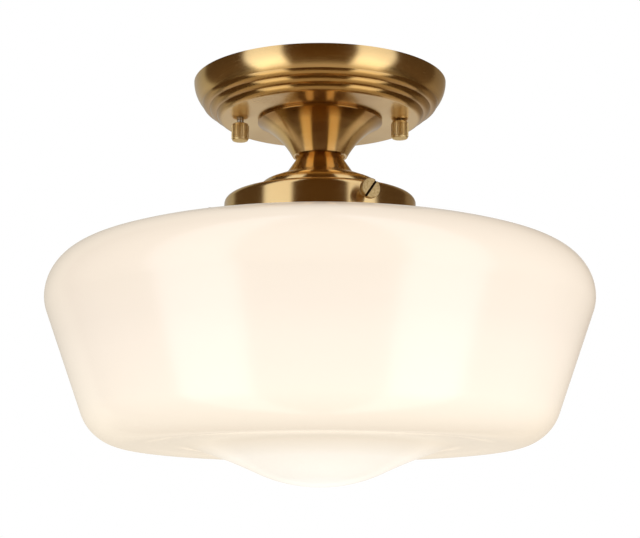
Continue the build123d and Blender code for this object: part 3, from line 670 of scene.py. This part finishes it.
def glass_outline(inset):
    """The glass from its neck down to its lowest point, set in by its wall."""
    slope = GLASS_SHOULDER_SLOPE
    shoulder_in, shoulder_fall, shoulder_slope = GLASS_SHOULDER
    flank_r, flank_rise, flank_slope = GLASS_FLANK
    fillet_r = (GLASS_MOUTH_R - GLASS_NECK_R) / (1 - math.sin(math.radians(slope)))
    fillet = (GLASS_NECK_R + fillet_r, HOLDER_Z + fillet_r * math.cos(math.radians(slope)))
    shoulder = (GLASS_R - shoulder_in, HOLDER_Z - shoulder_fall)
    widest = (GLASS_R, GLASS_Z + GLASS_WIDEST_RISE)
    turn = (GLASS_R - GLASS_TURN_R, widest[1])
    turn_end = moved(turn, polar(GLASS_TURN_R, -GLASS_TAPER))
    ring_z = GLASS_Z + GLASS_RING_RISE
    taper = math.radians(GLASS_TAPER)
    corner_z = ring_z + GLASS_CORNER_R
    fall = (turn_end[1] + GLASS_CORNER_R * math.sin(taper) - corner_z) / math.cos(taper)
    corner = (turn_end[0] - GLASS_CORNER_R * math.cos(taper) - fall * math.sin(taper), corner_z)
    valley = (GLASS_VALLEY[0], GLASS_Z + GLASS_VALLEY[1])
    flank = (flank_r, GLASS_Z + flank_rise)
    return skin([
        (fillet, fillet_r, 180, 90 - slope),
        *bent_twice((GLASS_MOUTH_R, HOLDER_Z), -slope, shoulder, -shoulder_slope, GLASS_SHOULDER_SHARES[0]),
        *bent_twice(shoulder, -shoulder_slope, widest, -90, GLASS_SHOULDER_SHARES[1]),
        (turn, GLASS_TURN_R, 0, -GLASS_TAPER),
        (corner, GLASS_CORNER_R, -GLASS_TAPER, GLASS_TAPER - 90),
        *bent_twice((corner[0], ring_z), 180, valley, 180),
        *bent_twice(valley, 180, flank, 180 + flank_slope, GLASS_VALLEY_SHARE),
        *bent_twice(flank, 180 + flank_slope, (0, GLASS_Z), 180),
    ], inset)


def make_glass():
    """Blown schoolhouse glass with its lip and neck inside the holder."""
    outside = glass_outline(0)
    inside = glass_outline(GLASS_WALL)
    neck_in = GLASS_NECK_R - GLASS_WALL
    lip_under = THUMB_Z + THUMB_R + LIP_TO_THUMB
    lip = rounded([(neck_in, inside[0][1]), (neck_in, GLASS_TOP_Z), (GLASS_LIP_R, GLASS_TOP_Z),
                   (GLASS_LIP_R, lip_under), (GLASS_NECK_R, lip_under), outside[0]],
                  [GLASS_LIP_ROUND, GLASS_LIP_ROUND, GLASS_LIP_ROUND, GLASS_NECK_ROUND], steps=6)
    glass = lathe("opal_shade", list(reversed(inside)) + lip + outside)
    place_piece(glass, "shade", OPAL_GLASS, "opal_glass", "glass_lip", "glass_neck", "glass_shade")


# ---------------------------------------------------------------- fasteners

def geometry_tree(name, kinds):
    """A geometry tree with a named input of each kind, the node that gives them, and their identifiers."""
    tree = bpy.data.node_groups.new(name, "GeometryNodeTree")
    tree.interface.new_socket("Geometry", in_out="OUTPUT", socket_type="NodeSocketGeometry")
    sockets = {}
    for label, kind in kinds.items():
        sockets[label] = tree.interface.new_socket(label, in_out="INPUT", socket_type=kind).identifier
    return tree, node(tree, "NodeGroupInput"), sockets


def end_in_finish(tree, geometry, finish):
    """Ends a geometry tree in plain geometry with its finish on."""
    real = node(tree, "GeometryNodeRealizeInstances", inputs={"Geometry": geometry})
    coat = node(tree, "GeometryNodeSetMaterial", inputs={
        "Geometry": real.outputs["Geometry"], "Material": finish})
    node(tree, "NodeGroupOutput", inputs={"Geometry": coat.outputs["Geometry"]})


def knurl_tree():
    """Geometry nodes: copies of one ridge, evenly round the Z axis."""
    tree, given, sockets = geometry_tree("knurl", {
        "Tooth": "NodeSocketObject", "Count": "NodeSocketInt", "Radius": "NodeSocketFloat",
        "Finish": "NodeSocketMaterial"})
    circle = node(tree, "GeometryNodeMeshCircle", inputs={
        "Vertices": given.outputs["Count"], "Radius": given.outputs["Radius"]})
    source = node(tree, "GeometryNodeObjectInfo", inputs={"Object": given.outputs["Tooth"]})
    place = node(tree, "GeometryNodeInputPosition")
    apart = node(tree, "ShaderNodeSeparateXYZ", inputs={"Vector": place.outputs["Position"]})
    angle = node(tree, "ShaderNodeMath", {"operation": "ARCTAN2"}, {
        0: apart.outputs["Y"], 1: apart.outputs["X"]})
    turned_to = node(tree, "ShaderNodeCombineXYZ", inputs={"Z": angle.outputs["Value"]})
    copies = node(tree, "GeometryNodeInstanceOnPoints", inputs={
        "Points": circle.outputs["Mesh"], "Instance": source.outputs["Geometry"],
        "Rotation": turned_to.outputs["Vector"]})
    end_in_finish(tree, copies.outputs["Instances"], given.outputs["Finish"])
    return tree, sockets


def thread_tree():
    """Geometry nodes: a ridge of one section wound round the Z axis."""
    tree, given, sockets = geometry_tree("wound_thread", {
        "Turns": "NodeSocketFloat", "Radius": "NodeSocketFloat", "Length": "NodeSocketFloat",
        "Ridge": "NodeSocketFloat", "Steps": "NodeSocketInt", "Sides": "NodeSocketInt",
        "Finish": "NodeSocketMaterial"})
    spiral = node(tree, "GeometryNodeCurveSpiral", inputs={
        "Resolution": given.outputs["Steps"], "Rotations": given.outputs["Turns"],
        "Start Radius": given.outputs["Radius"], "End Radius": given.outputs["Radius"],
        "Height": given.outputs["Length"]})
    section = node(tree, "GeometryNodeCurvePrimitiveCircle", inputs={
        "Resolution": given.outputs["Sides"], "Radius": given.outputs["Ridge"]})
    ridge = node(tree, "GeometryNodeCurveToMesh", inputs={
        "Curve": spiral.outputs["Curve"], "Profile Curve": section.outputs["Curve"], "Fill Caps": True})
    smooth = node(tree, "GeometryNodeSetShadeSmooth", inputs={"Geometry": ridge.outputs["Mesh"]})
    end_in_finish(tree, smooth.outputs["Geometry"], given.outputs["Finish"])
    return tree, sockets


KNURL = knurl_tree()
THREAD = thread_tree()


def grown(name, maker_tree, sizes, place):
    """The plain mesh that a geometry tree makes from its sizes, moved to its place."""
    tree, sockets = maker_tree
    piece = new_piece(name, bpy.data.meshes.new(name))
    maker = piece.modifiers.new("maker", "NODES")
    maker.node_group = tree
    for label, size in sizes.items():
        maker[sockets[label]] = size
    finish_mesh(piece)
    piece.data.transform(place)
    return piece


def wound_thread(name, radius, length, finish, place):
    """A thread's ridge, which reaches a rod's full radius."""
    return grown(name, THREAD, {
        "Turns": length / THREAD_PITCH, "Radius": (radius - THREAD_RIDGE_R) * MM, "Length": length * MM,
        "Ridge": THREAD_RIDGE_R * MM, "Steps": THREAD_STEPS, "Sides": THREAD_SIDES, "Finish": finish}, place)


def knurl_tooth(height):
    """One straight knurl ridge, a low prism with sloped ends."""
    builder = bmesh.new()
    half = math.pi * (NUT_R - NUT_KNURL) / NUT_TEETH
    corners = [(-TOOTH_ROOT, -half, 0), (-TOOTH_ROOT, half, 0), (-TOOTH_ROOT, half, height),
               (-TOOTH_ROOT, -half, height), (NUT_KNURL, 0, TOOTH_END), (NUT_KNURL, 0, height - TOOTH_END)]
    verts = [builder.verts.new(corner) for corner in corners]
    for face in ((0, 3, 2, 1), (0, 1, 4), (3, 5, 2), (0, 4, 5, 3), (1, 2, 5, 4)):
        builder.faces.new([verts[index] for index in face])
    bmesh.ops.recalc_face_normals(builder, faces=builder.faces)
    return new_piece("tooth", mesh_from("tooth", builder))


def make_cap_nut(side):
    """Round nut with a straight knurl, plain rounded ends and a blind hole."""
    cad = f"cap_nut_{side}"
    low, high = (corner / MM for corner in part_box(cad))
    x = (low.x + high.x) / 2
    root_r = NUT_R - NUT_KNURL
    end_r = root_r - NUT_ENDS_STEP
    bore_r, bore = NUT_BORE
    blank = rounded([(0, low.z), (end_r, low.z), (end_r, high.z), (bore_r + BORE_CHAMFER, high.z),
                     (bore_r, high.z - BORE_CHAMFER), (bore_r, high.z - bore), (0, high.z - bore - BORE_CONE)],
                    [*NUT_ROUNDS, 0, 0, 0], steps=5)
    body = lathe("nut_blank", blank, steps=96, crease=40)
    body.data.transform(Matrix.Translation((x * MM, 0, 0)))
    tooth = knurl_tooth(high.z - low.z - 2 * NUT_RIM)
    sizes = {"Tooth": tooth, "Count": NUT_TEETH, "Radius": root_r * MM, "Finish": NUT_BRASS}
    knurl = grown("nut_knurl", KNURL, sizes, Matrix.Translation((x * MM, 0, (low.z + NUT_RIM) * MM)))
    for face in knurl.data.polygons:
        face.use_smooth = False
    bpy.data.objects.remove(tooth)
    nut = joined(f"{side}_cap_nut_body", [body, knurl])
    place_piece(nut, f"{side}_cap_nut", NUT_BRASS, "nut_brass", cad)


def make_studs():
    """The two threaded studs."""
    tip_r, chamfer = STUD_TIP
    lift = Matrix.Translation((0, 0, STUD_PLAIN_END * MM))
    pieces = []
    for side in (-1, 1):
        place = Matrix.Translation((side * STUD_X * MM, 0, -STUD_LENGTH * MM))
        core = lathe("stud_core", [(0, 0), (tip_r, 0), (STUD_CORE_R, chamfer), (STUD_CORE_R, STUD_LENGTH),
                                   (0, STUD_LENGTH)], steps=40)
        core.data.transform(place)
        thread = wound_thread("stud_thread", STUD_R, STUD_LENGTH - 2 * STUD_PLAIN_END, ZINC_STEEL, place @ lift)
        pieces += [core, thread]
    place_piece(joined("threaded_studs", pieces), "fixture", ZINC_STEEL, "zinc_steel", "mounting_studs")


def make_thumb_screw(side, angle):
    """Slotted screw with a flat turned head and a threaded shank, pointing at the light's axis."""
    outward = Vector((*polar(1, angle), 0))
    across = outward.cross(Vector((0, 0, 1)))
    up = outward.cross(across)
    axis = Matrix((
        (across.x, up.x, outward.x, 0), (across.y, up.y, outward.y, 0),
        (across.z, up.z, outward.z, THUMB_Z), (0, 0, 0, 1)))
    outer = THUMB_HEAD_IN + THUMB_HEAD
    tip = THUMB_HEAD_IN - THUMB_LENGTH
    tip_r, chamfer = THUMB_TIP
    outline = rounded([(0, outer), (THUMB_HEAD_R, outer), (THUMB_HEAD_R, THUMB_HEAD_IN),
                       (THUMB_CORE_R, THUMB_HEAD_IN), (THUMB_CORE_R, tip + chamfer), (tip_r, tip), (0, tip)],
                      [*THUMB_ROUNDS, 0, 0], steps=5)
    screw = lathe("thumb_blank", outline, steps=128, crease=40)
    tilt = math.radians(SLOT_TILT)
    builder = bmesh.new()
    bmesh.ops.create_cube(builder, size=1.0)
    bmesh.ops.scale(builder, vec=(4 * THUMB_HEAD_R, SLOT_WIDTH, 2 * SLOT_DEPTH), verts=builder.verts)
    bmesh.ops.rotate(builder, cent=(0, 0, 0), matrix=Matrix.Rotation(tilt, 3, "Z"), verts=builder.verts)
    bmesh.ops.translate(builder, vec=(0, 0, outer), verts=builder.verts)
    cut_away(screw, new_piece("slot_tool", mesh_from("slot_tool", builder)))
    # painted shade: the faces inside the slot, and a little past its sides, are marked to take the dark colour
    painted_slot_shade = screw.data.attributes.new("slot_dirt", "FLOAT", "FACE")
    lowest = (outer - SLOT_DEPTH - 2 * SLOT_SHADE_OVER) * MM
    highest = (outer - SLOT_SHADE_OVER) * MM
    widest = (SLOT_WIDTH / 2 + SLOT_SHADE_OVER) * MM
    for face in screw.data.polygons:
        off_slot = (face.center.to_2d() @ Matrix.Rotation(tilt, 2)).y
        in_slot = lowest < face.center.z < highest and abs(off_slot) < widest
        painted_slot_shade.data[face.index].value = 1.0 if in_slot else 0.0
    lift = Matrix.Translation((0, 0, (tip + chamfer) * MM))
    thread = wound_thread("thumb_thread", THUMB_R, THUMB_LENGTH - 2 * chamfer, THUMB_BRASS, lift)
    whole = joined(f"{side}_thumb_screw_body", [screw, thread])
    axis.translation *= MM
    whole.data.transform(axis)
    place_piece(whole, f"{side}_thumb_screw", THUMB_BRASS, "thumb_brass", f"thumb_screw_{side}")


make_canopy()
make_stem()
make_holder()
make_glass()
make_studs()
for nut_side in ("left", "right"):
    make_cap_nut(nut_side)
for screw_side, screw_angle in THUMB_ANGLES.items():
    make_thumb_screw(screw_side, screw_angle)

# the CAD nodes that show as they are, in their finishes
CARRIED = {
    "crossbar": ZINC_STEEL, "stud_nuts": ZINC_STEEL, "ground_screw": GREEN_STEEL, "threaded_tube": ZINC_STEEL,
    "upper_washer": ZINC_STEEL, "upper_nut": ZINC_STEEL, "lower_washer": ZINC_STEEL, "lower_nut": ZINC_STEEL,
    "socket_strap": ZINC_STEEL, "socket_screws": ZINC_STEEL, "socket_body": PORCELAIN,
    "socket_shell": SHELL_ALLOY, "socket_contact": CONTACT_BRASS, "wire_connectors": CONNECTOR_PLASTIC,
    "lead_black": LEAD_BLACK, "lead_white": LEAD_WHITE, "lead_ground": LEAD_GREEN, "lamp_tip": CONTACT_BRASS,
    "lamp_insulator": LAMP_BLACK, "lamp_base": SHELL_ALLOY, "lamp_housing": LAMP_WHITE,
    "lamp_diffuser": LAMP_FROST,
}
for cad_node, finish in CARRIED.items():
    dress(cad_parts[cad_node], finish)


# --------------------------------------------------------------------- studio

# sizes here are in metres
FLOOR_Z = -1.6
FLOOR_HALF = 8.0
SURROUND_R = 2.4
SURROUND_HALF = 2.6
SURROUND_STEPS = 96
MIDDLE = (0.0, 0.0, -0.12)
WORLD_FILL = 0.72                     # strength of the world's light on the object


def glossy_only(obj):
    """Leaves a piece of the stage to reflections alone."""
    obj.visible_camera = False
    obj.visible_diffuse = False
    obj.visible_transmission = False
    obj.visible_volume_scatter = False
    obj.visible_shadow = False


# bearing from the front in degrees, below 0 on the left, and the colour of the card there
CARDS = [
    (-180, "9E9991"), (-126, "979283"), (-120, "4C3C2B"), (-72, "4C3C2B"), (-67, "EEF1FF"), (-35, "EEF1FF"),
    (-31, "483218"), (31, "483218"), (35, "EEF1FF"), (67, "EEF1FF"), (72, "4C3C2B"), (120, "4C3C2B"),
    (126, "706351"), (152, "7C6E5B"), (172, "9E9991"),
]
# the same for the cards low down, which the undersides see
LOW_CARDS = [
    (-180, "67645F"), (-126, "635F55"), (-120, "302519"), (-72, "302519"), (-67, "FFFFFF"), (-35, "FFFFFF"),
    (-31, "3C2912"), (31, "3C2912"), (35, "FFFFFF"), (67, "FFFFFF"), (72, "302519"), (120, "302519"),
    (126, "483F33"), (152, "50473A"), (172, "67645F"),
]
LOW_CARDS_Z = (-1.5, -1.0)            # heights between which they give way to the others
# height, and the share of their light that the cards give there
CARD_LIGHT = [
    (-SURROUND_HALF, "C8C8C8"), (-1.7, "FFFFFF"), (-1.2, "FFFFFF"), (-0.7, "E4E4E4"), (0.4, "CACACA"),
    (SURROUND_HALF, "CACACA"),
]
CARD_STRENGTH = 2.3


def make_surround():
    """A closed room of dark flags and white soft boxes that only reflections see."""
    builder = bmesh.new()
    rings = []
    for height in (-SURROUND_HALF, SURROUND_HALF):
        rings.append([builder.verts.new((*polar(SURROUND_R, 360 * step / SURROUND_STEPS), height))
                      for step in range(SURROUND_STEPS)])
        builder.faces.new(rings[-1])
    for step in range(SURROUND_STEPS):
        after = (step + 1) % SURROUND_STEPS
        builder.faces.new((rings[0][step], rings[0][after], rings[1][after], rings[1][step]))
    surround = new_piece("surround", mesh_from("surround", builder, unit=1.0))
    material, tree = new_material("surround_cards")
    place = node(tree, "ShaderNodeTexCoord").outputs["Object"]
    apart = node(tree, "ShaderNodeSeparateXYZ", inputs={"Vector": place})
    ahead = node(tree, "ShaderNodeMath", {"operation": "MULTIPLY"}, {0: apart.outputs["Y"], 1: -1.0})
    bearing = node(tree, "ShaderNodeMath", {"operation": "ARCTAN2"}, {
        0: apart.outputs["X"], 1: ahead.outputs["Value"]})
    share = node(tree, "ShaderNodeMapRange", inputs={
        "Value": bearing.outputs["Value"], "From Min": -math.pi, "From Max": math.pi})
    high, low = (node(tree, "ShaderNodeValToRGB", inputs={"Fac": share.outputs["Result"]},
                      stops=[((degrees + 180) / 360, colour) for degrees, colour in cards])
                 for cards in (CARDS, LOW_CARDS))
    above = node(tree, "ShaderNodeMapRange", inputs={
        "Value": apart.outputs["Z"], "From Min": LOW_CARDS_Z[0], "From Max": LOW_CARDS_Z[1]})
    cards = node(tree, "ShaderNodeMix", {"data_type": "RGBA"}, {
        "Factor": above.outputs["Result"], 6: low.outputs["Color"], 7: high.outputs["Color"]})
    height = node(tree, "ShaderNodeMapRange", inputs={
        "Value": apart.outputs["Z"], "From Min": -SURROUND_HALF, "From Max": SURROUND_HALF})
    light = node(tree, "ShaderNodeValToRGB", inputs={"Fac": height.outputs["Result"]}, stops=[
        ((z + SURROUND_HALF) / (2 * SURROUND_HALF), colour) for z, colour in CARD_LIGHT])
    seen = node(tree, "ShaderNodeMix", {"data_type": "RGBA", "blend_type": "MULTIPLY"}, {
        "Factor": 1.0, 6: cards.outputs[2], 7: light.outputs["Color"]})
    shine = node(tree, "ShaderNodeEmission", inputs={"Color": seen.outputs[2], "Strength": CARD_STRENGTH})
    node(tree, "ShaderNodeOutputMaterial", inputs={"Surface": shine.outputs["Emission"]})
    dress(surround, material)
    glossy_only(surround)


def make_floor():
    """A pale floor, which the camera sees as plain white."""
    builder = bmesh.new()
    bmesh.ops.create_grid(builder, x_segments=1, y_segments=1, size=FLOOR_HALF)
    bmesh.ops.translate(builder, vec=(0, 0, FLOOR_Z), verts=builder.verts)
    floor = new_piece("floor", mesh_from("floor", builder, unit=1.0))
    material, tree = new_material("pale_floor")
    path = node(tree, "ShaderNodeLightPath")
    lit = node(tree, "ShaderNodeBsdfDiffuse", inputs={"Color": hex_colour("F4F4F2")})
    white = node(tree, "ShaderNodeEmission", inputs={"Color": (1, 1, 1, 1), "Strength": 1.0})
    mix = node(tree, "ShaderNodeMixShader", inputs={
        0: path.outputs["Is Camera Ray"], 1: lit.outputs["BSDF"], 2: white.outputs["Emission"]})
    node(tree, "ShaderNodeOutputMaterial", inputs={"Surface": mix.outputs["Shader"]})
    dress(floor, material)
    floor.visible_glossy = False


def soft_box(name, place, aim, size, power):
    """A rectangular lamp that no reflection shows. Its power is in watts."""
    data = bpy.data.lights.new(name, "AREA")
    data.shape = "RECTANGLE"
    data.size, data.size_y = size
    data.energy = power
    lamp = bpy.data.objects.new(name, data)
    lamp.location = place
    lamp.rotation_euler = (Vector(aim) - Vector(place)).to_track_quat("-Z", "Y").to_euler()
    lamp.visible_glossy = False
    bpy.context.scene.collection.objects.link(lamp)


def light_world():
    """White wherever it is seen, and a plain fill on the light itself."""
    world = bpy.data.worlds.new("studio")
    world.use_nodes = True
    tree = world.node_tree
    tree.nodes.clear()
    path = node(tree, "ShaderNodeLightPath")
    seen = node(tree, "ShaderNodeMath", {"operation": "ADD", "use_clamp": True}, {
        0: path.outputs["Is Camera Ray"], 1: path.outputs["Is Glossy Ray"]})
    seen = node(tree, "ShaderNodeMath", {"operation": "ADD", "use_clamp": True}, {
        0: seen.outputs["Value"], 1: path.outputs["Is Transmission Ray"]})
    fill = node(tree, "ShaderNodeBackground", inputs={"Color": (1, 1, 1, 1), "Strength": WORLD_FILL})
    white = node(tree, "ShaderNodeBackground", inputs={"Color": (1, 1, 1, 1), "Strength": 1.0})
    mix = node(tree, "ShaderNodeMixShader", inputs={
        0: seen.outputs["Value"], 1: fill.outputs["Background"], 2: white.outputs["Background"]})
    node(tree, "ShaderNodeOutputWorld", inputs={"Surface": mix.outputs["Shader"]})
    bpy.context.scene.world = world


stand_camera()
make_surround()
make_floor()
light_world()
soft_box("left_box", (-1.3, -1.2, 0.1), MIDDLE, (0.8, 1.4), 9.0)
soft_box("right_box", (1.3, -1.2, 0.1), MIDDLE, (0.8, 1.4), 9.0)
soft_box("right_side_box", (1.7, 0.2, -0.2), MIDDLE, (0.6, 1.2), 4.0)
bpy.context.scene.view_settings.view_transform = "Standard"
